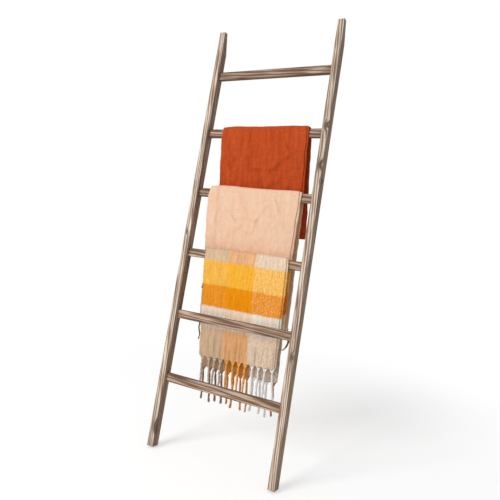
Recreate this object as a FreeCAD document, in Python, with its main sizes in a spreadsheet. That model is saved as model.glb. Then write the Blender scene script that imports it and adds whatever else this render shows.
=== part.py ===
"""Blanket ladder: two rails, six rungs on hidden loose tenons, and three throws folded over the rungs.

The part stands as it is used, leaning back against a wall: X runs along the rungs, +Y points to the
wall and +Z is up, with the feet on Z = 0. The origin is the middle of the footprint. Sizes are in
millimetres. Every size that can be set by itself is a cell of the sheet called Sizes.

Two frames are used. The ladder frame lies in the leaning ladder: n is the depth from the rails' front
face towards the wall, and t runs up the rails from the foot. The part frame is X, Y, Z as above.
"""
import FreeCAD, Part
import math
import os

import Sketcher
from FreeCAD import Placement, Rotation, Vector

SIZES = [
    # rails
    ("rail_length", 1700, "rail, measured along the wood"),
    ("rail_width", 27, "rail, seen from the front"),
    ("rail_depth", 36, "rail, from front face to wall side"),
    ("rail_edge", 1.5, "bevel that breaks the rail's edges"),
    ("ladder_width", 545, "over both rails"),
    ("lean_angle", 12, "degrees off upright, in use"),
    ("wall_cut_length", 92, "face at each rail's top that lies flat on the wall"),
    # rungs
    ("rung_count", 6, "rungs"),
    ("rung_height", 33, "rung, along the rails"),
    ("rung_depth", 18, "rung, front to back"),
    ("rung_edge", 1.5, "bevel that breaks the rung's long edges"),
    ("rung_setback", 12, "from the rail's front face to the rung's"),
    ("lowest_rung", 265, "foot to the middle of the lowest rung, along the rail"),
    ("top_margin", 191.5, "middle of the top rung to the rail's top end, along the rail"),
    # loose tenons, one at each rung end
    ("tenon_width", 8, "loose tenon, front to back"),
    ("tenon_height", 22, "loose tenon, along the rails"),
    ("tenon_length", 30, "loose tenon, half of it in the rung and half in the rail"),
    ("tenon_slack", 0.1, "mortise wall to tenon, filled by glue"),
    ("tenon_end_gap", 1, "mortise depth past each tenon end"),
    # throws
    ("throw_clearance", 0.5, "cloth to rung"),
    ("throw_seat_level", 6, "below the rung's front lower corner, where a throw starts to hang free"),
    ("fold_swing", 3, "how far the hanging folds stand out at the hem"),
    ("fold_count", 4, "folds across a throw"),
    ("fringe_gap", 0.3, "hem to knots"),
    ("knot_height", 4, "row of knots that holds a fringe"),
    ("knot_depth", 4, "row of knots that holds a fringe"),
    ("tassel_root_length", 28, "part of a tassel where the yarns gather"),
    # rust throw, over the second rung from the top
    ("rust_thickness", 7, "folded cloth on each side of the rung"),
    ("rust_width", 379, "at the rung"),
    ("rust_shift", 5, "middle at the rung, to the right of the ladder's middle"),
    ("rust_front_width", 372, "at the front hem"),
    ("rust_front_shift", 6, "middle of the front hem"),
    ("rust_front_drop", 245, "middle of the rung to the middle of the front hem"),
    ("rust_back_width", 384, "at the back hem"),
    ("rust_back_shift", 10, "middle of the back hem"),
    ("rust_back_drop", 402, "middle of the rung to the middle of the back hem"),
    ("rust_slant", 4, "how much lower the hems are at the left"),
    # peach throw, over the third rung
    ("peach_thickness", 7, "folded cloth on each side of the rung"),
    ("peach_width", 400, "at the rung"),
    ("peach_shift", 4, "middle at the rung, to the right of the ladder's middle"),
    ("peach_front_width", 390, "at the front hem"),
    ("peach_front_shift", 0, "middle of the front hem"),
    ("peach_front_drop", 290, "middle of the rung to the middle of the front hem"),
    ("peach_back_width", 416, "at the back hem"),
    ("peach_back_shift", -22, "middle of the back hem"),
    ("peach_back_drop", 514, "middle of the rung to the middle of the back hem"),
    ("peach_slant", 24, "how much lower the hems are at the left"),
    ("peach_tassels", 12, "tassels along one hem"),
    ("peach_tassel_length", 95, "tassel"),
    ("peach_tassel_radius", 2, "tassel's cord"),
    # checked throw, over the fourth rung
    ("check_thickness", 8, "folded cloth on each side of the rung"),
    ("check_width", 358, "at the rung"),
    ("check_shift", 17, "middle at the rung, to the right of the ladder's middle"),
    ("check_front_width", 334, "at the front hem"),
    ("check_front_shift", 8, "middle of the front hem"),
    ("check_front_drop", 388, "middle of the rung to the middle of the front hem"),
    ("check_back_width", 345, "at the back hem"),
    ("check_back_shift", -2, "middle of the back hem"),
    ("check_back_drop", 447, "middle of the rung to the middle of the back hem"),
    ("check_slant", 26, "how much lower the hems are at the left"),
    ("check_tassels", 12, "tassels along one hem"),
    ("check_tassel_length", 145, "tassel"),
    ("check_tassel_radius", 3.2, "tassel's twisted cord"),
]

# Sizes worked out from the sheet, as expressions that FreeCAD keeps up to date.
CLEAR_WIDTH = "(Sizes.ladder_width - 2 * Sizes.rail_width)"
WALL_CUT_RISE = "(Sizes.wall_cut_length * cos(Sizes.lean_angle))"
WALL_CUT_DEPTH = "(Sizes.wall_cut_length * sin(Sizes.lean_angle))"
RUNG_AXIS_N = "(Sizes.rung_setback + Sizes.rung_depth / 2)"
RUNG_PITCH = "((Sizes.rail_length - Sizes.lowest_rung - Sizes.top_margin) / (Sizes.rung_count - 1))"
MORTISE_WIDTH = "(Sizes.tenon_width + 2 * Sizes.tenon_slack)"
MORTISE_HEIGHT = "(Sizes.tenon_height + 2 * Sizes.tenon_slack)"
MORTISE_DEPTH = "(Sizes.tenon_length / 2 + Sizes.tenon_end_gap)"
# The feet are cut square, so each stands on the lower back edge of its bottom face.
FOOT_RISE = "((Sizes.rail_depth - Sizes.rail_edge) * sin(Sizes.lean_angle))"
WALL_PLANE = (f"((Sizes.rail_length - {WALL_CUT_RISE}) * sin(Sizes.lean_angle)"
              " + Sizes.rail_depth * cos(Sizes.lean_angle))")
FOOT_FRONT = "(Sizes.rail_edge * sin(Sizes.lean_angle))"
MIDDLE_Y = f"(({WALL_PLANE} + {FOOT_FRONT}) / 2)"

# The level and upright lines of a rectangle that is drawn from its lower left corner.
RECTANGLE = ((0, "Horizontal"), (1, "Vertical"), (2, "Horizontal"), (3, "Vertical"))

doc = FreeCAD.newDocument("BlanketLadder")
sheet = doc.addObject("Spreadsheet::Sheet", "Sizes")
for row, (alias, value, note) in enumerate(SIZES, start=1):
    sheet.set(f"A{row}", alias)
    sheet.set(f"B{row}", str(value))
    sheet.set(f"C{row}", note)
    sheet.setAlias(f"B{row}", alias)
doc.recompute()


def size(alias):
    """Read one size of the sheet as a number."""
    return float(sheet.get(alias))


def lean_into_place(piece, n_expr, t_expr):
    """Place a piece built in the ladder frame, with its own origin at depth n and height t."""
    piece.Placement = Placement(Vector(0, 0, 0), Rotation(Vector(-1, 0, 0), size("lean_angle")))
    piece.setExpression("Placement.Rotation.Angle", "Sizes.lean_angle")
    piece.setExpression(
        "Placement.Base.y",
        f"{t_expr} * sin(Sizes.lean_angle) + {n_expr} * cos(Sizes.lean_angle) - {MIDDLE_Y}")
    piece.setExpression(
        "Placement.Base.z",
        f"{t_expr} * cos(Sizes.lean_angle) - {n_expr} * sin(Sizes.lean_angle) + {FOOT_RISE}")


def origin_plane(body, role):
    """Return a body's own origin plane or axis by its role, such as YZ_Plane."""
    return next(item for item in body.Origin.OriginFeatures if item.Role == role)


def new_sketch(body, name):
    """Add a sketch on the body's YZ plane: sketch x is depth, sketch y runs up the ladder."""
    sketch = body.newObject("Sketcher::SketchObject", name)
    sketch.AttachmentSupport = [(origin_plane(body, "YZ_Plane"), "")]
    sketch.MapMode = "FlatFace"
    return sketch


def add_outline(sketch, corners, directions):
    """Draw a closed outline of straight lines, where directions names the level and upright ones."""
    count = len(corners)
    for index in range(count):
        start, end = corners[index], corners[(index + 1) % count]
        sketch.addGeometry(Part.LineSegment(Vector(*start, 0), Vector(*end, 0)), False)
    for index in range(count):
        sketch.addConstraint(Sketcher.Constraint("Coincident", index, 2, (index + 1) % count, 1))
    for index, direction in directions:
        sketch.addConstraint(Sketcher.Constraint(direction, index))


def add_size(sketch, constraint, name, expression):
    """Add a dimension and bind it to an expression."""
    index = sketch.addConstraint(constraint)
    sketch.renameConstraint(index, name)
    sketch.setExpression(f"Constraints.{name}", expression)


def start_at_origin(sketch):
    """Pin an outline's first corner to the sketch's origin."""
    sketch.addConstraint(Sketcher.Constraint("Coincident", 0, 1, -1, 1))


def add_mortise(sketch, x_expr, y_expr, x_value, y_value):
    """Draw one mortise, its middle given as expressions and as the values that they have now."""
    wide, high = (size("tenon_width") + 2 * size("tenon_slack"),
                  size("tenon_height") + 2 * size("tenon_slack"))
    left, low = x_value - wide / 2, y_value - high / 2
    add_outline(sketch, [(left, low), (left + wide, low), (left + wide, low + high), (left, low + high)],
                RECTANGLE)
    add_size(sketch, Sketcher.Constraint("DistanceX", 0, 1, 0, 2, wide), "mortise_width", MORTISE_WIDTH)
    add_size(sketch, Sketcher.Constraint("DistanceY", 1, 1, 1, 2, high), "mortise_height", MORTISE_HEIGHT)
    add_size(sketch, Sketcher.Constraint("DistanceX", -1, 1, 0, 1, left), "mortise_left",
             f"{x_expr} - {MORTISE_WIDTH} / 2")
    add_size(sketch, Sketcher.Constraint("DistanceY", -1, 1, 0, 1, low), "mortise_low",
             f"{y_expr} - {MORTISE_HEIGHT} / 2")


def bevel_edges(body, base, is_wanted, expression):
    """Break every edge of the base feature that is_wanted accepts with a small bevel."""
    names = [f"Edge{index}" for index, edge in enumerate(base.Shape.Edges, start=1) if is_wanted(edge)]
    bevel = body.newObject("PartDesign::Chamfer", "BrokenEdges")
    bevel.Base = (base, names)
    bevel.setExpression("Size", expression)
    return bevel


def make_rail(label, side):
    """Make one rail, with its inner face on the body's YZ plane and its wood towards side * X."""
    body = doc.addObject("PartDesign::Body", label)
    body.Label = label

    depth, length = size("rail_depth"), size("rail_length")
    rise = size("wall_cut_length") * math.cos(math.radians(size("lean_angle")))
    cut = size("wall_cut_length") * math.sin(math.radians(size("lean_angle")))
    profile = new_sketch(body, "SideProfile")
    add_outline(profile, [(0, 0), (depth, 0), (depth, length - rise), (depth - cut, length), (0, length)],
                ((0, "Horizontal"), (1, "Vertical"), (3, "Horizontal"), (4, "Vertical")))
    start_at_origin(profile)
    add_size(profile, Sketcher.Constraint("DistanceX", 0, 1, 0, 2, depth), "depth", "Sizes.rail_depth")
    add_size(profile, Sketcher.Constraint("DistanceY", 4, 2, 4, 1, length), "length", "Sizes.rail_length")
    add_size(profile, Sketcher.Constraint("DistanceY", 1, 1, 1, 2, length - rise), "cut_start",
             f"Sizes.rail_length - {WALL_CUT_RISE}")
    add_size(profile, Sketcher.Constraint("DistanceX", 3, 2, 3, 1, depth - cut), "top_depth",
             f"Sizes.rail_depth - {WALL_CUT_DEPTH}")

    pad = body.newObject("PartDesign::Pad", "Wood")
    pad.Profile = profile
    pad.setExpression("Length", "Sizes.rail_width")
    pad.Reversed = side < 0
    doc.recompute()

    bevel = bevel_edges(body, pad, lambda edge: True, "Sizes.rail_edge")
    doc.recompute()

    mortise = new_sketch(body, "MortiseOutline")
    add_mortise(mortise, RUNG_AXIS_N, "Sizes.lowest_rung",
                size("rung_setback") + size("rung_depth") / 2, size("lowest_rung"))
    pocket = body.newObject("PartDesign::Pocket", "LowestMortise")
    pocket.Profile = mortise
    pocket.setExpression("Length", MORTISE_DEPTH)
    pocket.Reversed = side > 0
    doc.recompute()

    mortises = body.newObject("PartDesign::LinearPattern", "AllMortises")
    mortises.Originals = [pocket]
    mortises.Direction = (origin_plane(body, "Z_Axis"), [""])
    mortises.setExpression("Length", f"{RUNG_PITCH} * (Sizes.rung_count - 1)")
    mortises.setExpression("Occurrences", "Sizes.rung_count")
    body.Tip = mortises

    lean_into_place(body, "0", "0")
    body.setExpression("Placement.Base.x", f"{side} * {CLEAR_WIDTH} / 2")
    return body


def make_rung(label, steps_up):
    """Make one rung, centred on the body's YZ plane, steps_up rungs above the lowest one."""
    body = doc.addObject("PartDesign::Body", label)
    body.Label = label

    depth, height = size("rung_depth"), size("rung_height")
    profile = new_sketch(body, "Section")
    add_outline(profile, [(0, 0), (depth, 0), (depth, height), (0, height)], RECTANGLE)
    start_at_origin(profile)
    add_size(profile, Sketcher.Constraint("DistanceX", 0, 1, 0, 2, depth), "depth", "Sizes.rung_depth")
    add_size(profile, Sketcher.Constraint("DistanceY", 1, 1, 1, 2, height), "height", "Sizes.rung_height")

    pad = body.newObject("PartDesign::Pad", "Wood")
    pad.Profile = profile
    pad.Midplane = True
    pad.setExpression("Length", CLEAR_WIDTH)
    doc.recompute()

    def runs_along_rung(edge):
        """Tell the four long edges from those that meet the rails."""
        return edge.BoundBox.XLength > edge.BoundBox.ZLength + edge.BoundBox.YLength

    bevel = bevel_edges(body, pad, runs_along_rung, "Sizes.rung_edge")
    doc.recompute()

    mortise = new_sketch(body, "MortiseOutline")
    mortise.setExpression("AttachmentOffset.Base.z", f"{CLEAR_WIDTH} / 2")
    add_mortise(mortise, "Sizes.rung_depth / 2", "Sizes.rung_height / 2", depth / 2, height / 2)
    pocket = body.newObject("PartDesign::Pocket", "RightMortise")
    pocket.Profile = mortise
    pocket.setExpression("Length", MORTISE_DEPTH)
    doc.recompute()

    both = body.newObject("PartDesign::Mirrored", "BothMortises")
    both.Originals = [pocket]
    both.MirrorPlane = (origin_plane(body, "YZ_Plane"), [""])
    body.Tip = both

    lean_into_place(
        body, "Sizes.rung_setback",
        f"(Sizes.lowest_rung + {steps_up} * {RUNG_PITCH} - Sizes.rung_height / 2)")
    return body


def make_loose_tenons():
    """Make the loose tenons, one at each end of each rung, as one group of separate pieces."""
    tenons = []
    for steps_up in range(int(size("rung_count"))):
        for side in (-1, 1):
            tenon = doc.addObject("Part::Box", "LooseTenon")
            tenon.setExpression("Length", "Sizes.tenon_length")
            tenon.setExpression("Width", "Sizes.tenon_width")
            tenon.setExpression("Height", "Sizes.tenon_height")
            tenon.setExpression("Placement.Base.x",
                                f"{side} * {CLEAR_WIDTH} / 2 - Sizes.tenon_length / 2")
            tenon.setExpression("Placement.Base.y", f"{RUNG_AXIS_N} - Sizes.tenon_width / 2")
            tenon.setExpression(
                "Placement.Base.z",
                f"Sizes.lowest_rung + {steps_up} * {RUNG_PITCH} - Sizes.tenon_height / 2")
            tenons.append(tenon)
    group = doc.addObject("Part::Compound", "loose_tenons")
    group.Label = "loose_tenons"
    group.Links = tenons
    lean_into_place(group, "0", "0")
    return group


# ---------------------------------------------------------------- throws

SIDES = ((-1, "front"), (1, "back"))
TASSEL_ROOT_SPREAD = 1.6
TASSEL_SIDES = 6


def leaned(n, t):
    """Turn a step (n, t) in the ladder frame into the same step (y, z) in the part frame."""
    lean = math.radians(size("lean_angle"))
    return Vector(0, n * math.cos(lean) + t * math.sin(lean), t * math.cos(lean) - n * math.sin(lean))


def rung_corners():
    """Return the rung's lower front, upper front and upper back corners about its own middle."""
    half_depth, half_height = size("rung_depth") / 2, size("rung_height") / 2
    return (leaned(-half_depth, -half_height), leaned(-half_depth, half_height),
            leaned(half_depth, half_height))


def seat_height():
    """Return the height, about the rung's middle, below which a throw hangs free."""
    return rung_corners()[0].z - size("throw_seat_level")


def arc_round(corner, radius, start, end):
    """Return an arc about a corner between two unit directions."""
    middle = start + end
    middle.normalize()
    return Part.Arc(corner + start * radius, corner + middle * radius, corner + end * radius).toShape()


def line_between(start, end):
    """Return a straight edge."""
    return Part.LineSegment(start, end).toShape()


def cloth_path(offset):
    """Return the edges of the line that cloth follows over the rung, offset from the wood."""
    low_front, high_front, high_back = rung_corners()
    outward, upward = leaned(-1, 0), leaned(0, 1)
    front, back = Vector(0, -1, 0), Vector(0, 1, 0)
    bottom_front = Vector(0, low_front.y - offset, seat_height())
    bottom_back = Vector(0, high_back.y + offset, seat_height())
    return [
        line_between(bottom_front, low_front + front * offset),
        arc_round(low_front, offset, front, outward),
        line_between(low_front + outward * offset, high_front + outward * offset),
        arc_round(high_front, offset, outward, upward),
        line_between(high_front + upward * offset, high_back + upward * offset),
        arc_round(high_back, offset, upward, back),
        line_between(high_back + back * offset, bottom_back),
    ]


def make_saddle(width, thickness, shift):
    """Make the stretch of a throw that lies over its rung."""
    inner = size("throw_clearance")
    outer = inner + thickness
    low_front, _, high_back = rung_corners()
    level = seat_height()
    closing = [
        line_between(Vector(0, low_front.y - inner, level), Vector(0, low_front.y - outer, level)),
        line_between(Vector(0, high_back.y + inner, level), Vector(0, high_back.y + outer, level)),
    ]
    edges = Part.sortEdges(cloth_path(inner) + cloth_path(outer) + closing)[0]
    face = Part.Face(Part.Wire(edges))
    face.translate(Vector(shift - width / 2, 0, 0))
    return face.extrude(Vector(width, 0, 0))


def fold_section(width, shift, slant, inner_y, side, thickness, swing, height):
    """Return one level outline of a hanging panel: wavy front and back faces, straight ends."""
    waves = 2 * int(size("fold_count"))
    edges = []
    ends = []
    for face_y in (inner_y, inner_y + side * thickness):
        middle_y = face_y + side * swing / 2
        points = [Vector(shift + width * share, middle_y, height + slant * share)
                  for share in (step / waves - 0.5 for step in range(waves + 1))]
        for step in range(waves):
            start, end = points[step], points[step + 1]
            if swing > 0:
                bulge = Vector(0, (1 if step % 2 else -1) * swing / 2, 0)
                edges.append(Part.Arc(start, (start + end) / 2 + bulge, end).toShape())
            else:
                edges.append(line_between(start, end))
        ends.append((points[0], points[-1]))
    for near, far in zip(*ends):
        edges.append(line_between(near, far))
    return Part.Wire(Part.sortEdges(edges)[0])


def inner_face(side):
    """Return where the wood side of a hanging panel lies, front (side -1) or back (side +1)."""
    low_front, _, high_back = rung_corners()
    corner_y = low_front.y if side < 0 else high_back.y
    return corner_y + side * size("throw_clearance")


def make_panel(prefix, side, name):
    """Make one hanging side of a throw, from the rung down to its hem."""
    top = seat_height()
    drop = size(f"{prefix}_{name}_drop")
    starts = (size(f"{prefix}_width"), size(f"{prefix}_shift"), 0, 0, top)
    ends = (size(f"{prefix}_{name}_width"), size(f"{prefix}_{name}_shift"), size(f"{prefix}_slant"),
            size("fold_swing"), -drop)
    thickness = size(f"{prefix}_thickness")
    sections = [fold_section(width, shift, slant, inner_face(side), side, thickness, swing, height)
                for width, shift, slant, swing, height in (starts, ends)]
    return Part.makeLoft(sections, True, True)


def make_throw(label, prefix, steps_up):
    """Make one folded throw: the saddle over its rung and the two sides that hang from it."""
    saddle = make_saddle(size(f"{prefix}_width"), size(f"{prefix}_thickness"), size(f"{prefix}_shift"))
    panels = [make_panel(prefix, side, name) for side, name in SIDES]
    cloth = doc.addObject("Part::Feature", label)
    cloth.Label = label
    cloth.Shape = saddle.multiFuse(panels).removeSplitter()
    hang_on_rung(cloth, steps_up)
    return cloth


def tassel_section(centre, radius):
    """Return one level section of a tassel, with as many sides as its yarn has strands."""
    turns = [2 * math.pi * side / TASSEL_SIDES for side in range(TASSEL_SIDES + 1)]
    return Part.makePolygon([centre + Vector(math.cos(turn), math.sin(turn), 0) * radius
                             for turn in turns])


def make_fringe_row(prefix, side, name):
    """Make one row of tassels under a hem, joined by the row of knots that they hang from."""
    middle_y = inner_face(side) + side * (size(f"{prefix}_thickness") + size("fold_swing")) / 2
    width, shift = size(f"{prefix}_{name}_width"), size(f"{prefix}_{name}_shift")
    slant, drop = size(f"{prefix}_slant"), size(f"{prefix}_{name}_drop")
    count, radius = int(size(f"{prefix}_tassels")), size(f"{prefix}_tassel_radius")
    knot_height, root_length = size("knot_height"), size("tassel_root_length")
    cord_length = size(f"{prefix}_tassel_length") - knot_height / 2 - root_length

    def under_hem(share, depth):
        """Return the point that lies depth below the hem, share of the way across it."""
        return Vector(shift + width * share, middle_y, slant * share - drop - size("fringe_gap") - depth)

    reach = 0.5 - 1 / (4 * count)
    outline = Part.makePolygon([under_hem(-reach, 0), under_hem(reach, 0), under_hem(reach, knot_height),
                                under_hem(-reach, knot_height), under_hem(-reach, 0)])
    knots = Part.Face(outline).extrude(Vector(0, size("knot_depth"), 0))
    knots.translate(Vector(0, -size("knot_depth") / 2, 0))
    tassels = []
    for index in range(count):
        root = under_hem((index + 0.5) / count - 0.5, knot_height / 2)
        tassels.append(Part.makeLoft([
            tassel_section(root, radius * TASSEL_ROOT_SPREAD),
            tassel_section(root - Vector(0, 0, root_length), radius),
            tassel_section(root - Vector(0, 0, root_length + cord_length), radius)], True, True))
    return knots.multiFuse(tassels)


def make_fringe(label, prefix, steps_up):
    """Make a throw's fringe, one row of tassels under each hem."""
    rows = [make_fringe_row(prefix, side, name) for side, name in SIDES]
    fringe = doc.addObject("Part::Feature", label)
    fringe.Label = label
    fringe.Shape = Part.Compound([solid for row in rows for solid in row.Solids])
    hang_on_rung(fringe, steps_up)
    return fringe


def hang_on_rung(piece, steps_up):
    """Place cloth modelled about a rung's middle on the rung that is steps_up above the lowest."""
    piece.Placement = Placement(Vector(0, 0, 0), Rotation())
    n_expr = RUNG_AXIS_N
    t_expr = f"(Sizes.lowest_rung + {steps_up} * {RUNG_PITCH})"
    piece.setExpression(
        "Placement.Base.y",
        f"{t_expr} * sin(Sizes.lean_angle) + {n_expr} * cos(Sizes.lean_angle) - {MIDDLE_Y}")
    piece.setExpression(
        "Placement.Base.z",
        f"{t_expr} * cos(Sizes.lean_angle) - {n_expr} * sin(Sizes.lean_angle) + {FOOT_RISE}")


# ---------------------------------------------------------------- the whole ladder

top_rung = int(size("rung_count")) - 1
nodes = [make_rail("rail_left", -1), make_rail("rail_right", 1)]
nodes += [make_rung(f"rung_{number}", top_rung + 1 - number) for number in range(1, top_rung + 2)]
nodes.append(make_loose_tenons())
nodes.append(make_throw("throw_rust", "rust", top_rung - 1))
nodes.append(make_throw("throw_peach", "peach", top_rung - 2))
nodes.append(make_fringe("throw_peach_fringe", "peach", top_rung - 2))
nodes.append(make_throw("throw_check", "check", top_rung - 3))
nodes.append(make_fringe("throw_check_fringe", "check", top_rung - 3))
doc.recompute()

for item in doc.Objects:
    if {"Invalid", "Error"} & set(item.State):
        raise RuntimeError(f"{item.Label} did not recompute: {item.State}")
for node in nodes:
    if node.Shape.isNull() or not node.Shape.isValid():
        raise RuntimeError(f"{node.Label} has no valid shape")

os.makedirs("parts", exist_ok=True)
for node in nodes:
    node.Shape.exportStep(f"parts/{node.Label}.step")
    box = node.Shape.BoundBox
    print(f"{node.Label}: {len(node.Shape.Solids)} solids, {node.Shape.Volume / 1000:.1f} cm3, "
          f"X {box.XMin:.1f}..{box.XMax:.1f} Y {box.YMin:.1f}..{box.YMax:.1f} "
          f"Z {box.ZMin:.1f}..{box.ZMax:.1f}")
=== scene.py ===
"""Looks of a leaning blanket ladder, dressed with three throws that are folded over its rungs.

Everything is in metres in the part's own frame: X runs along the rungs, +Y points to the wall that
the ladder leans on, and +Z is up. The rails and rungs keep their solids and get their finish here.
The throws and their fringes replace plain solids with folded sheets and twisted tassels.
"""
import logging
import math
import random
from dataclasses import dataclass
from enum import Enum
from functools import partial
from typing import Any, Sequence

import bpy
import numpy as np
from bpy.types import ID, Material, Mesh, Node, NodeOutputs, NodeSocket, NodeTree, Object
from mathutils import Matrix, Vector, noise


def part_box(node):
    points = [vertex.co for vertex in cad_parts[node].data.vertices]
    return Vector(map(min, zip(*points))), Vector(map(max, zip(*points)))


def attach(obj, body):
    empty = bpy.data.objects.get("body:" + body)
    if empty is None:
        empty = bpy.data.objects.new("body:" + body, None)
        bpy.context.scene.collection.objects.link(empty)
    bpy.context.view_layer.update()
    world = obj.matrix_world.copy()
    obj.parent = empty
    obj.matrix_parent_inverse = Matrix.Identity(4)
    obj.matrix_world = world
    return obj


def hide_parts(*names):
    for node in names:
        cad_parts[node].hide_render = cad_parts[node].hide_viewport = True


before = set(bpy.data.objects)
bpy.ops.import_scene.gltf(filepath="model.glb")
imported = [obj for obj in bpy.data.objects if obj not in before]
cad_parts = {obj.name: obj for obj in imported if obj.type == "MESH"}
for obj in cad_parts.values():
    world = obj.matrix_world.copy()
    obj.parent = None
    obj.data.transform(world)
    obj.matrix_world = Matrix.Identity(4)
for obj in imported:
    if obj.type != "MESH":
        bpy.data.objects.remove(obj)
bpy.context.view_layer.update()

log = logging.getLogger("blanket_ladder")

LEAN = math.radians(12)
MM = 0.001
CLOTH_UV = "Cloth"
CLOTH_CREASE_SHADE = "cloth_crease_shade"
YARN_COLUMN = "yarn_column"
YARN_STRAND = "yarn_strand"
YARN_GROOVE = "yarn_groove"
YARN_SHADE = "yarn_shade"
YARN_CURL = "yarn_curl"
YARN_HANG = "hang"

# Settings that many nodes share.
SMOOTH = {"interpolation_type": "SMOOTHSTEP"}
BLEND = {"data_type": "RGBA"}
SHADE = {"data_type": "RGBA", "blend_type": "MULTIPLY"}
ON_POINTS = {"data_type": "FLOAT", "domain": "POINT"}
NODE_PREFIXES = ("ShaderNode", "GeometryNode", "FunctionNode", "Node")


# ------------------------------------------------------------------ node and mesh helpers

def linear(code: str) -> tuple[float, float, float, float]:
    """Turn an sRGB hex colour into linear RGBA.

    Args:
        code: the colour, such as "c15026".

    Returns:
        Red, green, blue and alpha, each from 0 to 1.
    """
    shares = [int(code[at:at + 2], 16) / 255 for at in (0, 2, 4)]
    return (*(s / 12.92 if s <= 0.04045 else ((s + 0.055) / 1.055) ** 2.4 for s in shares), 1.0)


def add_node(tree: NodeTree, kind: str, inputs: dict[int | str, Any] | Sequence[Any] = (),
             **settings: Any) -> Node:
    """Add a node with its settings and links.

    Args:
        tree: the node tree that it goes into.
        kind: the node's type without its prefix, such as "Math".
        inputs: values by socket name, or one for each open socket in turn. A value is a plain
            one, a socket to link, or a node whose first open output is linked.
        settings: the node's own properties.

    Returns:
        The new node.
    """
    prefix = next(prefix for prefix in NODE_PREFIXES if hasattr(bpy.types, prefix + kind))
    node = tree.nodes.new(prefix + kind)
    for name, value in settings.items():
        setattr(node, name, value)
    if isinstance(inputs, dict):
        pairs = [(node.inputs[key], value) for key, value in inputs.items()]
    else:
        pairs = list(zip([socket for socket in node.inputs if socket.enabled], inputs))
    for socket, value in pairs:
        if isinstance(value, Node):
            value = next(output for output in value.outputs if output.enabled)
        if isinstance(value, NodeSocket):
            tree.links.new(value, socket)
        else:
            socket.default_value = value
    return node


def plain_mesh(obj: Object) -> None:
    """Turn an object's modifiers into its plain mesh, in place.

    Args:
        obj: the object.
    """
    graph = bpy.context.evaluated_depsgraph_get()
    made = bpy.data.meshes.new_from_object(obj.evaluated_get(graph), depsgraph=graph)
    obj.modifiers.clear()
    old, obj.data = obj.data, made
    made.name = obj.name
    if old.users == 0:
        bpy.data.meshes.remove(old)


def new_object(name: str, data: ID) -> Object:
    """Put a mesh, a lamp or a camera into the scene as an object at the origin.

    Args:
        name: the object's name.
        data: the mesh, lamp or camera.

    Returns:
        The object.
    """
    obj = bpy.data.objects.new(name, data)
    bpy.context.scene.collection.objects.link(obj)
    return obj


# ------------------------------------------------------------------ finishes

@dataclass(frozen=True)
class Finish:
    """A named finish. Each kind of finish draws its own surface."""

    name: str

    def surface(self, tree: NodeTree) -> Node:
        """Return the shader that the finish's nodes end in."""
        raise NotImplementedError

    def material(self) -> Material:
        """Build the finish as a material.

        Returns:
            The material.
        """
        material = bpy.data.materials.new(self.name)
        material.use_nodes = True
        material.node_tree.nodes.clear()
        add_node(material.node_tree, "OutputMaterial", [self.surface(material.node_tree)])
        return material


@dataclass(frozen=True)
class Knot:
    """A knot in a rail: where its middle lies and how wide it is, in metres.

    side is -1 for the left rail and +1 for the right one, along runs up the rail from its foot, and
    across and depth are measured from the middle of the rail's section.
    """

    side: int
    along: float
    across: float
    depth: float
    radius: float


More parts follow.
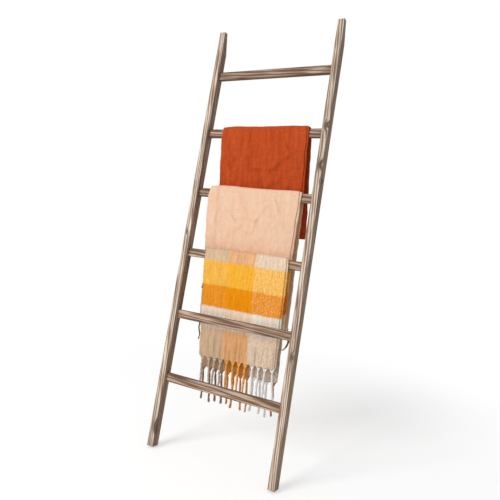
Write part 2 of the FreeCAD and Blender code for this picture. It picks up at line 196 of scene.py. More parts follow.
@dataclass(frozen=True)
class BrushedPine(Finish):
    """Pine, wire-brushed so that its soft early wood sinks, with a thin whitewash in the grain.

    The eye gets long light streaks in a brown board, matt all over, darker knots and broken edges
    that are rubbed through to bare wood.
    """

    wash: str
    face: str
    side: str
    grain: str
    bare: str
    runs_up: bool
    half_depth: float
    half_across: float
    wash_amount: float
    side_wash: float = 0.4
    top_shade_range: float = 0.2
    ring: float = 0.010
    knots: tuple[Knot, ...] = ()

    def section_place(self, tree: NodeTree, local: Node) -> tuple[Node, Node, NodeSocket]:
        """Find the place in the board's section.

        Args:
            tree: the material's node tree.
            local: coordinates in the ladder: X across it, Y its depth and Z up the rails.

        Returns:
            The offset across the section and the offset in depth, both from its middle, and the
            place along the board.
        """
        add = partial(add_node, tree)
        x, y, z = add("SeparateXYZ", [local]).outputs
        if self.runs_up:
            away = add("Math", [x], operation="ABSOLUTE")
            across = add("Math", [away, RAIL_MIDDLE_X], operation="SUBTRACT")
            middle, along = RAIL_MIDDLE_DEPTH, z
        else:
            lifted = add("Math", [z, RUNG_LOWEST - RUNG_PITCH / 2], operation="SUBTRACT")
            wrapped = add("Math", [lifted, RUNG_PITCH], operation="MODULO")
            across = add("Math", [wrapped, RUNG_PITCH / 2], operation="SUBTRACT")
            middle, along = RUNG_MIDDLE_DEPTH, x
        return across, add("Math", [y, middle], operation="SUBTRACT"), along

    def knot_mask(self, tree: NodeTree, local: Node) -> Node | float:
        """Mark the knots.

        Args:
            tree: the material's node tree.
            local: coordinates in the ladder.

        Returns:
            A mask that is 1 in the middle of each knot and fades to 0 around it.
        """
        add = partial(add_node, tree)
        mask: Node | float = 0.0
        for knot in self.knots:
            middle = (knot.side * RAIL_MIDDLE_X + knot.across, RAIL_MIDDLE_DEPTH + knot.depth,
                      knot.along)
            away = add("VectorMath", [local, middle], operation="SUBTRACT")
            # A knot is drawn out along the board to about twice its width.
            shape = (1 / knot.radius, 1 / knot.radius, 0.5 / knot.radius)
            scaled = add("VectorMath", [away, shape], operation="MULTIPLY")
            reach = add("VectorMath", [scaled], operation="LENGTH")
            near = add("MapRange", [reach, 2.2, 0.3], **SMOOTH)
            mask = add("Math", [mask, near], operation="MAXIMUM")
        return mask

    def rubbed_edge(self, tree: NodeTree, across: Node, depth: Node, patches: Node) -> Node:
        """Return a mask for the long edges, which are rubbed unevenly along the board.

        Args:
            tree: the material's node tree.
            across: the offset across the section from its middle.
            depth: the offset in depth from the section's middle.
            patches: slow noise that makes the edge ragged.

        Returns:
            The mask.
        """
        add = partial(add_node, tree)
        share_across = add("Math", [across, 1 / self.half_across], operation="MULTIPLY")
        share_depth = add("Math", [depth, 1 / self.half_depth], operation="MULTIPLY")
        corner = add("Math", [share_across, share_depth], operation="MULTIPLY")
        corner_size = add("Math", [corner], operation="ABSOLUTE")
        ragged = add("MapRange", [patches, 0, 1, -0.12, 0.12])
        edge_at = add("Math", [corner_size, ragged], operation="ADD")
        return add("MapRange", [edge_at, 0.8, 0.98, 0, 0.55], **SMOOTH)

    def surface(self, tree: NodeTree) -> Node:
        """Draw stained, brushed and whitewashed wood.

        Args:
            tree: the material's node tree.

        Returns:
            The shader.
        """
        add = partial(add_node, tree)
        # The mapping undoes the ladder's lean and counts from the foot's front edge.
        local = add("Mapping", {
            "Vector": add("TexCoord").outputs["Object"], "Location": (0, FRONT_DEPTH, FOOT_DROP),
            "Rotation": (LEAN, 0, 0)})
        across, depth, along = self.section_place(tree, local)
        knots = self.knot_mask(tree, local)

        # Grain runs along the board: 1 mm along it counts as much as 0.045 mm across it. It
        # bends by 10 mm around a knot.
        squeezed = add("Math", [along, 0.045], operation="MULTIPLY")
        bent = add("Math", [knots, 0.010], operation="MULTIPLY")
        x, y, z = add("SeparateXYZ", [local]).outputs
        shifted = add("Math", [x if self.runs_up else z, bent], operation="ADD")
        grain_place = add("CombineXYZ", [shifted, y, squeezed])
        # Growth rings bent into long flames, as in a flat-sawn board. They are drawn 10 mm or
        # more apart, where real ones are about 3 mm, so that they show.
        rings = add("TexWave", {
            "Vector": grain_place, "Scale": 0.628 / self.ring, "Distortion": 7.5, "Detail": 2.0,
            "Detail Scale": 110 * self.ring, "Detail Roughness": 0.55},
            bands_direction="DIAGONAL").outputs[1]
        # Brushed fibres, drawn 6 mm wide, coarser than the real 0.5 mm, so that they show.
        fibres = add("TexNoise", [grain_place, 165.0, 3.0, 0.6])
        patches = add("TexNoise", [grain_place, 48.0, 3.0, 0.55])

        # The whitewash stays on the front face and wears thin on the sides. The sides' darker
        # colour is partly the wood's own and partly painted shade, for the light falls on the front
        # faces.
        normal = add("TexCoord").outputs["Normal"]
        turned = add("VectorRotate", {"Vector": normal, "Axis": (1, 0, 0), "Angle": LEAN},
                     rotation_type="AXIS_ANGLE")
        face_x, face_y, face_z = add("SeparateXYZ", [turned]).outputs
        front = add("MapRange", [face_y, -0.3, -0.9])
        tone = add("Mix", [front, linear(self.side), linear(self.face)], **BLEND)
        # Hard late wood stands up brown; the soft early wood between holds the wash.
        late = add("MapRange", [rings, 0.42, 0.06, 0, 0.8], **SMOOTH)
        lined = add("Mix", [late, tone, linear(self.grain)], **BLEND)
        early = add("MapRange", [rings, 0.4, 0.9], **SMOOTH)
        brushed = add("MapRange", [fibres, 0.38, 0.62, 0.25 * self.wash_amount, self.wash_amount])
        laid = add("Math", [early, brushed], operation="MULTIPLY")
        held = add("MapRange", [front, 0, 1, self.side_wash, 1])
        wash = add("Math", [laid, held], operation="MULTIPLY")
        streaked = add("Mix", [wash, lined, linear(self.wash)], **BLEND)
        shade = add("MapRange", [patches, 0.32, 0.68, 0.72, 1.16])
        shaded = add("Mix", [1, streaked, shade], **SHADE)
        # Painted shade: the boards are darker towards the top, standing in for the light that falls
        # off up the ladder.
        low, high = 1 + self.top_shade_range / 2, 1 - self.top_shade_range / 2
        shaded_to_top = add("Mix", [1, shaded, add("MapRange", [z, 0.2, 1.6, low, high])], **SHADE)
        knotted = add("Math", [knots, 0.85], operation="MULTIPLY")
        with_knots = add("Mix", [knotted, shaded_to_top, linear(self.bare)], **BLEND)
        edge = self.rubbed_edge(tree, across, depth, patches)
        worn_and_shaded = add("Mix", [edge, with_knots, linear(self.bare)], **BLEND)
        # End grain drinks the stain, so the cut ends are darker.
        end_size = add("Math", [face_z if self.runs_up else face_x], operation="ABSOLUTE")
        end = add("MapRange", [end_size, 0.8, 0.95, 0, 0.8])
        colour = add("Mix", [end, worn_and_shaded, linear(self.bare)], **BLEND)

        relief = add("Math", [fibres, rings, 0.5], operation="MULTIPLY_ADD")
        bump = add("Bump", {"Strength": 0.55, "Distance": 0.0016, "Height": relief})
        matt = add("MapRange", [fibres, 0, 1, 0.68, 0.9])
        return add("BsdfPrincipled", {
            "Base Color": colour, "Roughness": matt, "IOR": 1.45, "Specular IOR Level": 0.3,
            "Normal": bump})


@dataclass(frozen=True)
class WovenCloth(Finish):
    """Plain-woven cloth with uneven yarns, from crisp linen to a soft brushed cotton.

    The eye gets soft streaks along the warp, shorter ones along the weft, slow changes of dye, a
    net of small creases with painted shade in them and in the folds, and a faint halo of loose
    fibres at grazing angles.
    """

    base: str
    light: str
    dark: str
    thread: float
    warp_streak: float
    weft_streak: float
    cloudiness: float
    crease_shade: float
    crinkle_shade: float
    relief: float
    sheen: float

    def creases(self, tree: NodeTree, flat: Node, cloud: Node) -> Node:
        """Return a net of small creases, as in cloth that was crumpled.

        Args:
            tree: the material's node tree.
            flat: the place on the flat cloth, in metres.
            cloud: slow noise, by which the creases come and go over the cloth.

        Returns:
            A mask that is 1 on the crest of a crease.
        """
        add = partial(add_node, tree)
        unruly = add("TexNoise", [flat, 22.0, 2.0]).outputs[1]
        wandering = add("VectorMath", [unruly, (0.045, 0.045, 0.0), flat],
                        operation="MULTIPLY_ADD")
        # The creases stand 30 mm apart.
        net = add("TexVoronoi", {"Vector": wandering, "Scale": 1 / 0.030},
                  feature="DISTANCE_TO_EDGE")
        ridge = add("MapRange", [net, 0, 0.11, 1, 0], **SMOOTH)
        return add("Math", [ridge, add("MapRange", [cloud, 0.42, 0.62])], operation="MULTIPLY")

    def surface(self, tree: NodeTree) -> Node:
        """Draw cloth that follows its own UV map, laid out in metres.

        Args:
            tree: the material's node tree.

        Returns:
            The shader.
        """
        add = partial(add_node, tree)
        flat = add("UVMap", uv_map=CLOTH_UV)
        lengthwise, crosswise, drawn_out = (
            add("Mapping", {"Vector": flat, "Scale": scale})
            for scale in ((1, 0.14, 1), (0.12, 1, 1), (1, 0.35, 1)))
        # Slubs are drawn 14 mm wide, where real ones are about 1 mm, so that they show.
        warp = add("TexNoise", [lengthwise, 1 / 0.014, 2.0, 0.5])
        weft = add("TexNoise", [crosswise, 1 / 0.008, 3.0, 0.6])
        cloud = add("TexNoise", [drawn_out, 34.0, 3.0, 0.6])
        bands = [add("TexWave", {"Vector": flat, "Scale": 0.314 / self.thread, "Distortion": 0.8,
                                 "Detail": 1.0}, bands_direction=direction).outputs[1]
                 for direction in ("X", "Y")]
        crossing = add("Math", bands, operation="MULTIPLY")
        creases = self.creases(tree, flat, cloud)

        tone: Node | float = 0.5
        for value, amount in ((warp, self.warp_streak), (weft, self.weft_streak),
                              (cloud, self.cloudiness)):
            spread = add("MapRange", [value, 0.3, 0.7, -amount, amount])
            tone = add("Math", [tone, spread], operation="ADD")
        # Painted shade: folds and creases are a little darker, standing in for the shade in them.
        fold = add("Attribute", attribute_name=CLOTH_CREASE_SHADE).outputs["Fac"]
        crease_shaded = add("Math", [fold, -self.crease_shade, tone], operation="MULTIPLY_ADD")
        worn_and_shaded = add("Math", [creases, -self.crinkle_shade, crease_shaded], operation="MULTIPLY_ADD")
        ramp = add("ValToRGB", [worn_and_shaded])
        stops = ramp.color_ramp.elements
        stops[0].position, stops[0].color = 0.0, linear(self.dark)
        stops[1].position, stops[1].color = 1.0, linear(self.light)
        stops.new(0.5).color = linear(self.base)

        slubs = add("Math", [warp, weft], operation="ADD")
        height = add("Math", [crossing, 0.12, slubs], operation="MULTIPLY_ADD")
        raised = add("Math", [creases, 2.2, height], operation="MULTIPLY_ADD")
        bump = add("Bump", {"Strength": self.relief, "Distance": 0.0012, "Height": raised})
        return add("BsdfPrincipled", {
            "Base Color": ramp, "Roughness": 0.9, "IOR": 1.45, "Specular IOR Level": 0.2,
            "Sheen Weight": self.sheen, "Sheen Roughness": 0.5, "Normal": bump})


@dataclass(frozen=True)
class Stripe:
    """One stripe of yarn: where it ends, its colour, and how much it covers the crossing yarn."""

    end: float
    colour: str
    cover: float = 1.0

    def stop(self) -> tuple[float, float, float, float]:
        """Return the stripe's linear colour, with its cover as alpha."""
        return (*linear(self.colour)[:3], self.cover)


@dataclass(frozen=True)
class LoopedCheck(Finish):
    """A check woven from looped yarn: warp stripes up the cloth, weft stripes across it.

    The eye gets blocks of colour whose two yarns mix in speckles a few millimetres wide, soft
    streaks along the warp, and a nubbly surface with no shine. A warp stripe's cover is how much
    it speckles the weft. loop is a loop's width and hem is the front hem's place along the cloth,
    both in metres.
    """

    warp: tuple[Stripe, ...]
    weft: tuple[Stripe, ...]
    loop: float
    hem: float

    def stripes(self, tree: NodeTree, place: NodeSocket, bands: Sequence[Stripe],
                start: float) -> Node:
        """Return the colour and cover of a run of stripes at a place.

        Args:
            tree: the material's node tree.
            place: the socket that gives the place along the run, in metres.
            bands: the stripes, in order.
            start: where the first stripe starts, in metres.

        Returns:
            A node whose outputs are the colour and the cover.
        """
        length = bands[-1].end - start
        ramp = add_node(tree, "ValToRGB", [
            add_node(tree, "MapRange", [place, start, bands[-1].end])])
        stops = ramp.color_ramp.elements
        stops[0].position, stops[0].color = 0.0, bands[0].stop()
        stops[1].position, stops[1].color = 1.0, bands[-1].stop()
        # Neighbouring yarns mix over 4 mm at each border.
        blend = 0.002 / length
        for before, after in zip(bands, bands[1:]):
            at = (before.end - start) / length
            stops.new(at - blend).color = before.stop()
            stops.new(at + blend).color = after.stop()
        return ramp

    def surface(self, tree: NodeTree) -> Node:
        """Draw looped cloth that follows its own UV map, laid out in metres.

        Args:
            tree: the material's node tree.

        Returns:
            The shader.
        """
        add = partial(add_node, tree)
        flat = add("UVMap", uv_map=CLOTH_UV)
        # The borders waver a little, as loosely woven yarn does.
        drift = add("TexNoise", [flat, 45.0, 2.0]).outputs[1]
        from_middle = add("VectorMath", [drift, (0.5, 0.5, 0.5)], operation="SUBTRACT")
        wavered = add("VectorMath", [from_middle, (0.007, 0.007, 0), flat],
                      operation="MULTIPLY_ADD")
        across, along, _ = add("SeparateXYZ", [wavered]).outputs
        warp = self.stripes(tree, across, self.warp, -0.5)
        weft = self.stripes(tree, along, self.weft, -1.0)

        # Loops show more of one yarn or of the other.
        loops = add("TexVoronoi", {"Vector": flat, "Scale": 1 / self.loop})
        speckle = add("TexNoise", [flat, 0.7 / self.loop, 3.0, 0.7])
        lengthwise = add("Mapping", {"Vector": flat, "Scale": (1, 0.12, 1)})
        streak = add("TexNoise", [lengthwise, 0.8 / self.loop, 2.0])
        off_middle = add("Math", [0.5, speckle], operation="SUBTRACT")
        swing = add("Math", [off_middle, 5.0], operation="MULTIPLY")
        shows = add("Math", [swing, warp.outputs[1], weft.outputs[1]], operation="MULTIPLY_ADD",
                    use_clamp=True)
        mixed = add("Mix", [shows, warp, weft], **BLEND)
        shadow = add("MapRange", [loops, 0.2, 0.75, 1.04, 0.92])
        streaks = add("MapRange", [streak, 0.3, 0.7, 0.85, 1.1])
        depth = add("Math", [shadow, streaks], operation="MULTIPLY")
        # Near a hem the warp parts into bunches; the dark gaps between them are painted shade.
        gaps = add("Mapping", {"Vector": flat, "Scale": (1, 0.05, 1)})
        gap_shade = add("MapRange", [add("TexNoise", [gaps, 90.0, 2.5, 0.6]), 0.5, 0.34, 0, 0.42])
        near = add("MapRange", [along, self.hem + 0.075, self.hem])
        hem_gap_shade = add("Math", [gap_shade, near], operation="MULTIPLY")
        left = add("Math", [1.0, hem_gap_shade], operation="SUBTRACT")
        shaded = add("Math", [depth, left], operation="MULTIPLY")
        colour = add("Mix", [1, mixed, shaded], **SHADE)

        loop_height = add("Math", [loops, -1.0, speckle], operation="MULTIPLY_ADD")
        bump = add("Bump", {"Strength": 0.4, "Distance": 0.002, "Height": loop_height})
        return add("BsdfPrincipled", {
            "Base Color": colour, "Roughness": 0.95, "IOR": 1.45, "Specular IOR Level": 0.1,
            "Sheen Weight": 0.05, "Sheen Roughness": 0.6, "Normal": bump})


@dataclass(frozen=True)
class TwistedYarn(Finish):
    """Loosely twisted yarn, whose colour changes from tassel to tassel along the hem.

    The eye gets round soft strands, one of them lighter, with a dark line of painted shade between
    them that winds round the cord, and stray fibres that catch the light. The ends of the colours
    lie from 0 to 1 along the front hem and from 1 to 2 along the back one.
    """

    ends: tuple[float, ...]
    colours: tuple[str, ...]
    light_strand: tuple[str, ...]

    def along_hem(self, tree: NodeTree, colours: Sequence[str]) -> Node:
        """Return the colour of a tassel by its place along the hem, in plain steps.

        Args:
            tree: the material's node tree.
            colours: the colours, one for each end.

        Returns:
            A node whose output is the colour.
        """
        column = add_node(tree, "Attribute", attribute_name=YARN_COLUMN).outputs["Fac"]
        half = add_node(tree, "Math", [column, 0.5], operation="MULTIPLY")
        ramp = add_node(tree, "ValToRGB", [half])
        ramp.color_ramp.interpolation = "CONSTANT"
        stops = ramp.color_ramp.elements
        stops[0].position, stops[0].color = 0.0, linear(colours[0])
        stops[1].position, stops[1].color = 1.0, linear(colours[-1])
        for end, following in zip(self.ends, colours[1:]):
            stops.new(end / 2).color = linear(following)
        return ramp

    def surface(self, tree: NodeTree) -> Node:
        """Draw yarn that reads each tassel's place along its hem.

        Args:
            tree: the material's node tree.

        Returns:
            The shader.
        """
        add = partial(add_node, tree)
        strand, groove, shade = (add("Attribute", attribute_name=name).outputs["Fac"]
                                 for name in (YARN_STRAND, YARN_GROOVE, YARN_SHADE))
        # One strand of the three is the lighter yarn.
        lighter = add("MapRange", [strand, 0.62, 0.7])
        two_tone = add("Mix", [lighter, self.along_hem(tree, self.colours),
                               self.along_hem(tree, self.light_strand)], **BLEND)
        # Fibres are drawn 2 mm wide, coarser than real ones, so that they show.
        fibres = add("TexNoise", [add("TexCoord").outputs["Object"], 420.0, 3.0, 0.7])
        # Painted shade in the groove between the strands.
        groove_shade = add("MapRange", [groove, -1.0, 0.1, 0.84, 1.0])
        flecks = add("MapRange", [fibres, 0.3, 0.7, 0.9, 1.08])
        both = add("Math", [groove_shade, flecks], operation="MULTIPLY")
        all_three = add("Math", [both, shade], operation="MULTIPLY")
        colour = add("Mix", [1, two_tone, all_three], **SHADE)
        bump = add("Bump", {"Strength": 0.6, "Distance": 0.0012, "Height": fibres})
        return add("BsdfPrincipled", {
            "Base Color": colour, "Roughness": 0.92, "IOR": 1.45, "Specular IOR Level": 0.15,
            "Sheen Weight": 0.4, "Sheen Roughness": 0.7, "Normal": bump})


# ------------------------------------------------------------------ the wooden ladder

RAIL_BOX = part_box("rail_right")
RAIL_MIDDLE_X = (RAIL_BOX[0].x + RAIL_BOX[1].x) / 2
RAIL_HALF_WIDTH = (RAIL_BOX[1].x - RAIL_BOX[0].x) / 2
RAIL_MIDDLE_DEPTH = 0.018
RUNG_HALF_HEIGHT, RUNG_HALF_DEPTH = 0.0165, 0.009
RUNG_MIDDLE_DEPTH = 0.021


def box_middle(node: str) -> Vector:
    """Return the middle of a solid's box."""
    low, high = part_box(node)
    return (low + high) / 2


def ladder_place(point: Vector) -> tuple[float, float]:
    """Turn a point's Y and Z into depth and height along the leaning ladder, from the origin."""
    return (point.y * math.cos(LEAN) - point.z * math.sin(LEAN),
            point.y * math.sin(LEAN) + point.z * math.cos(LEAN))


def leaned(depth: float, height: float) -> Vector:
    """Turn depth and height along the leaning ladder back into a point's Y and Z."""
    return Vector((0, depth * math.cos(LEAN) + height * math.sin(LEAN),
                   height * math.cos(LEAN) - depth * math.sin(LEAN)))


TOP_RUNG, BOTTOM_RUNG = ladder_place(box_middle("rung_1")), ladder_place(box_middle("rung_6"))
RUNG_PITCH = (TOP_RUNG[1] - BOTTOM_RUNG[1]) / 5
RUNG_LOWEST = 0.265
FRONT_DEPTH = RUNG_MIDDLE_DEPTH - BOTTOM_RUNG[0]
FOOT_DROP = RUNG_LOWEST - BOTTOM_RUNG[1]


@dataclass(frozen=True)
class WoodenLadder:
    """The two rails, the six rungs, and the loose tenons inside their joints."""

    rails: tuple[str, ...] = ("rail_left", "rail_right")
    rungs: tuple[str, ...] = tuple(f"rung_{number}" for number in range(1, 7))
    tenons: tuple[str, ...] = ("loose_tenons",)
    rail_finish: BrushedPine = BrushedPine(
        name="whitewashed pine rail", wash="f2e6d7", face="b79b84", side="927660", grain="7a6250",
        bare="523e30", runs_up=True, half_depth=RAIL_MIDDLE_DEPTH, half_across=RAIL_HALF_WIDTH,
        wash_amount=0.95,
        knots=(Knot(1, 1.285, 0.002, -0.018, 0.007), Knot(1, 1.135, 0.000, -0.018, 0.008),
               Knot(1, 1.075, 0.012, -0.010, 0.006), Knot(1, 0.446, 0.004, -0.018, 0.006),
               Knot(-1, 0.076, 0.010, -0.016, 0.010), Knot(-1, 0.845, -0.003, -0.018, 0.005),
               Knot(-1, 1.21, 0.004, 0.018, 0.006), Knot(1, 0.82, -0.003, 0.018, 0.007)))
    rung_finish: BrushedPine = BrushedPine(
        name="whitewashed pine rung", wash="d8c2ae", face="8f7059", side="7d6250", grain="6a4c3a",
        bare="50392a", runs_up=False, half_depth=RUNG_HALF_DEPTH, half_across=RUNG_HALF_HEIGHT,
        wash_amount=0.8, side_wash=0.3, top_shade_range=0.3, ring=0.014)
    tenon_finish: BrushedPine = BrushedPine(
        name="plain beech tenon", wash="d9b98f", face="c9a477", side="c9a477", grain="b58f63",
        bare="a98257", runs_up=False, half_depth=0.1, half_across=0.1, wash_amount=0.2)

    def build(self) -> None:
        """Give every wooden solid its finish and report it."""
        for nodes, finish in ((self.rails, self.rail_finish), (self.rungs, self.rung_finish),
                              (self.tenons, self.tenon_finish)):
            material = finish.material()
            for node in nodes:
                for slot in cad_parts[node].material_slots:
                    slot.material = material
                log.info("finished %s in %s", node, material.name)


# ------------------------------------------------------------------ the throws

# How folded cloth lies. All of these are in millimetres.
OUTER_STEP, INNER_STEP = 4.0, 12.0
TURN_STEPS = 6
CREASE_WANDER = 9
CREASE_IN_SHADE = 2.5
CALM_REACH = 40
HUMP_REACH = 22
TOP_REACH = 38
EDGE_WANDER = 2.6
EDGE_THINNING = 1.6
HEM_WAVER = 1.6
ROOT_LAP = 3

# A place on the wood, the direction away from it, the share of the way down, and the side.
Step = tuple[Vector, Vector, float, int]


class Side(Enum):
    """The two sides of a throw that hang from its rung."""

    FRONT = -1
    BACK = 1


@dataclass(frozen=True)
class Panel:
    """One hanging side of a throw, in millimetres at its hem."""

    width: float
    shift: float
    drop: float
    slant: float


@dataclass(frozen=True)
class Crease:
    """A soft ridge in the cloth from one place to another, in millimetres across and along it."""

    start_x: float
    start_v: float
    end_x: float
    end_v: float
    height: float
    reach: float

    def rise(self, x: float, v: float) -> float:
        """Return how high the ridge stands at a place.

        Args:
            x: the place across the cloth, in millimetres from its middle.
            v: the place along the cloth, in millimetres from the top of its rung.

        Returns:
            The height in millimetres.
        """
        run_x, run_v = self.end_x - self.start_x, self.end_v - self.start_v
        from_x, from_v = x - self.start_x, v - self.start_v
        share = (from_x * run_x + from_v * run_v) / math.hypot(run_x, run_v) ** 2
        share = min(1.0, max(0.0, share))
        away = math.hypot(from_x - run_x * share, from_v - run_v * share)
        return self.height * math.exp(-(away / self.reach) ** 2)


@dataclass(frozen=True)
class Layer:
    """One layer of the folded cloth.

    offset is from the wood to the layer's middle in millimetres. The insets move the layer's left
    and right edges towards the middle, and short lifts its hems, all in millimetres.
    """

    offset: float
    left_inset: float
    right_inset: float
    short: float


@dataclass(frozen=True)
class SoftPiece:
    """A piece of cloth or yarn: its name, the solid it stands for, its body and its slot."""

    name: str
    node: str
    body: str
    slot: str

    def declare(self, piece: Object) -> Object:
        """Let the finished piece ride on its body, in place of its solid.

        Args:
            piece: the finished piece, as a plain mesh.

        Returns:
            The same piece.
        """
        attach(piece, self.body)
        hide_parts(self.node)
        log.info("made %s: %d faces", self.name, len(piece.data.polygons))
        return piece


@dataclass(frozen=True)
class FoldedThrow(SoftPiece):
    """A throw folded in three across its width and laid over a rung.

    The sheet starts at the free edge of the outer layer at the right, turns back under itself at
    the left edge, and turns again at the right. Sizes are in millimetres, about the rung's middle.
    """

    rung: str
    width: float
    shift: float
    front: Panel
    back: Panel
    thickness: float
    layers: tuple[Layer, ...]
    swing: float
    fold_count: float
    crown: tuple[float, ...]
    creases: tuple[Crease, ...]
    wrinkle: float
    seed: int
    top_inset: tuple[float, float]
    askew: float = 0.0
    hem_pull: float = 0.0
    hem_pulls: int = 12

    def panel(self, side: int) -> Panel:
        """Return the hanging side that a station belongs to."""
        return self.front if side < 0 else self.back

    def path(self) -> list[Step]:
        """Lay the cloth's path from the front hem over the rung to the back hem.

        Returns:
            The steps along it.
        """
        half_depth, half_height = RUNG_HALF_DEPTH / MM, RUNG_HALF_HEIGHT / MM
        low_front = leaned(-half_depth, -half_height)
        high_front = leaned(-half_depth, half_height)
        high_back = leaned(half_depth, half_height)
        outward, upward = leaned(-1, 0), leaned(0, 1)
        front, back = Vector((0, -1, 0)), Vector((0, 1, 0))
        steps = math.ceil(self.front.drop / OUTER_STEP)
        made = [(low_front, front, 1 - step / steps, Side.FRONT.value) for step in range(steps)]
        # The cloth bends round an edge of the rung, then lies flat on its next face.
        for corner, start, end, bends, following, shares in (
                (low_front, front, outward, 2, high_front, (0.2, 0.4, 0.6, 0.8)),
                (high_front, outward, upward, 8, high_back, (0.33, 0.67)),
                (high_back, upward, back, 8, high_back, ())):
            made += [(corner, start.slerp(end, bend / bends), 0.0, 0) for bend in range(bends + 1)]
            made += [(corner.lerp(following, share), end, 0.0, 0) for share in shares]
        steps = math.ceil(self.back.drop / OUTER_STEP)
        return made + [(high_back, back, (step + 1) / steps, Side.BACK.value)
                       for step in range(steps)]

    def stations(self) -> list[tuple[float, Vector, Vector, float, int]]:
        """Return the stations along the cloth's path from the front hem to the back hem.

        Returns:
            For each station: its place v along the cloth from the top of the rung in millimetres,
            the point on the wood and the direction away from it (both as (0, y, z) about the
            rung's middle), the share of the way down to the hem, and the side.
        """
        made = self.path()
        # Lengths are measured on the outer layer, where the pattern shows.
        points = []
        for wood, away, down, side in made:
            level = wood.z + (-self.panel(side).drop - wood.z) * down
            points.append(Vector((0, wood.y, level)) + away * self.layers[0].offset)
        lengths = [0.0]
        for before, after in zip(points, points[1:]):
            lengths.append(lengths[-1] + (after - before).length)
        middle = next(length for length, step in zip(lengths, made)
                      if step[1].angle(leaned(0, 1)) < 0.01)
        return [(length - middle, *step) for length, step in zip(lengths, made)]

    def section(self) -> list[tuple[float, float, float, float, int]]:
        """Return the folded sheet's section, from the outer layer's free edge inwards.

        Returns:
            For each point: the share of the width, an extra offset along X, the offset from the
            wood, the place u across the flat cloth, all but the share in millimetres, and the
            layer.
        """
        points: list[tuple[float, float, float, int]] = []
        for number, layer in enumerate(self.layers):
            count = max(8, round(self.width / (INNER_STEP if number else OUTER_STEP)))
            shares = np.linspace(0.5, -0.5, count + 1)
            for share in shares[::-1] if number % 2 else shares:
                inset = layer.right_inset * max(0.0, share * 2) ** 3
                inset -= layer.left_inset * max(0.0, -share * 2) ** 3
                points.append((float(share), -inset, layer.offset, number))
            if number + 1 < len(self.layers):
                below = self.layers[number + 1].offset
                radius = (layer.offset - below) / 2
                side, inset = (1, layer.right_inset) if number % 2 else (-1, layer.left_inset)
                for step in range(1, TURN_STEPS):
                    turn = math.pi * step / TURN_STEPS
                    points.append((side * 0.5, -side * inset + side * radius * math.sin(turn),
                                   (layer.offset + below) / 2 + radius * math.cos(turn), number))
        made, along, previous = [], 0.0, None
        for share, extra, offset, number in points:
            here = (share * self.width + extra, offset)
            along += math.dist(here, previous or here)
            previous = here
            made.append((share, extra, offset, along, number))
        return made

    def crown_at(self, share: float) -> float:
        """Return how high the cloth humps over the rung.

        Args:
            share: the share of the cloth's width, from -0.5 to 0.5.

        Returns:
            The height in millimetres.
        """
        at = (min(0.5, max(-0.5, share)) + 0.5) * (len(self.crown) - 1)
        first = min(int(at), len(self.crown) - 2)
        ease = at - first
        ease = ease * ease * (3 - 2 * ease)
        return self.crown[first] * (1 - ease) + self.crown[first + 1] * ease

    def crease_rise(self, x: float, v: float) -> float:
        """Return how high the creases stand at a place.

        Args:
            x: the place across the cloth, in millimetres.
            v: the place along the cloth, in millimetres.

        Returns:
            The height in millimetres.
        """
        # The creases wander, and fade in and out along their length.
        bend = noise.noise_vector(Vector((x / 38, v / 38, self.seed))) * CREASE_WANDER
        strength = 0.55 + 0.9 * noise.noise(Vector((x / 30, v / 30, self.seed + 4)))
        rises = sum(crease.rise(x + bend.x, v + bend.y) for crease in self.creases)
        return max(0.0, strength) * rises

    def lift(self, share: float, v: float, down: float, side: int) -> float:
        """Return how far the whole stack stands out from the wood's line at a place.

        Args:
            share: the share of the width, from -0.5 to 0.5.
            v: the place along the cloth, in millimetres.
            down: the share of the way down to the hem.
            side: -1 at the front, 1 at the back and 0 on the rung.

        Returns:
            The distance in millimetres.
        """
        x = share * self.width
        seed = Vector((self.seed * 17.3, self.seed * 5.1, side * 3.7))
        # Noise that changes over these millimetres across the cloth and along it.
        slow, medium, small = (noise.noise(Vector((x / across, v / along, 0)) + seed)
                               for across, along in ((90, 260), (42, 60), (14, 18)))
        phase = 2 * math.pi * self.fold_count * share + 1.6 * slow + side
        fold = self.swing * min(1.0, down * 1.6) * (0.5 + 0.5 * math.sin(phase))
        wave = self.wrinkle * medium
        # Ridged noise gives the thin crossing creases of cloth that was packed away.
        ridge = 1 - abs(noise.noise(Vector((x / 60 + slow, v / 48, 5)) + seed)) * 5
        crumple = 0.55 * self.wrinkle * max(0.0, ridge) ** 2
        raised = fold + wave + crumple + 0.3 * self.wrinkle * small
        raised += self.crease_rise(x, v)
        raised *= 0.45 + 0.55 * min(1.0, abs(v) / CALM_REACH)
        # Over the rung the cloth humps, and the hump dies out down each side.
        raised += self.crown_at(share) * math.exp(-(v / HUMP_REACH) ** 2)
        return max(-0.6, raised)

    def mesh(self) -> Mesh:
        """Build the sheet as one surface that follows the path and the folds.

        Returns:
            The mesh, with its place on the flat cloth as its UV map and the creases' height as an
            attribute, which the cloth's finish turns into painted shade.
        """
        # Without a seed, Blender's vector noise is drawn anew in each run.
        noise.seed_set(self.seed)
        stations, section = self.stations(), self.section()
        place = box_middle(self.rung)
        vertices, flat, crease_shades = [], [], []
        for v, wood, away, down, side in stations:
            panel = self.panel(side)
            width = self.width + (panel.width - self.width) * down
            shift = self.shift + (panel.shift - self.shift) * down
            near_top = math.exp(-(v / TOP_REACH) ** 2)
            for share, extra, offset, u, number in section:
                to_edge = abs(2 * share)
                seed = Vector((number * 7.7 + self.seed, 0, math.copysign(9, share)))
                wander = EDGE_WANDER * noise.noise(Vector((v / 45, 0, 0)) + seed) * to_edge ** 4
                inset = self.top_inset[0 if share < 0 else 1] * near_top * to_edge ** 5
                x = shift + width * share + extra + wander - math.copysign(inset, share)
                hem = -panel.drop + panel.slant * share + self.layers[number].short
                hem += HEM_WAVER * noise.noise(Vector((share * 6, side, self.seed)))
                # The tassels' knots pull the hem down into small points.
                pulled = abs(math.sin(math.pi * self.hem_pulls * (share + 0.5)))
                hem -= self.hem_pull * pulled * down ** 9
                level = wood.z + (hem - wood.z) * down
                out = offset + self.lift(share, v, down, side)
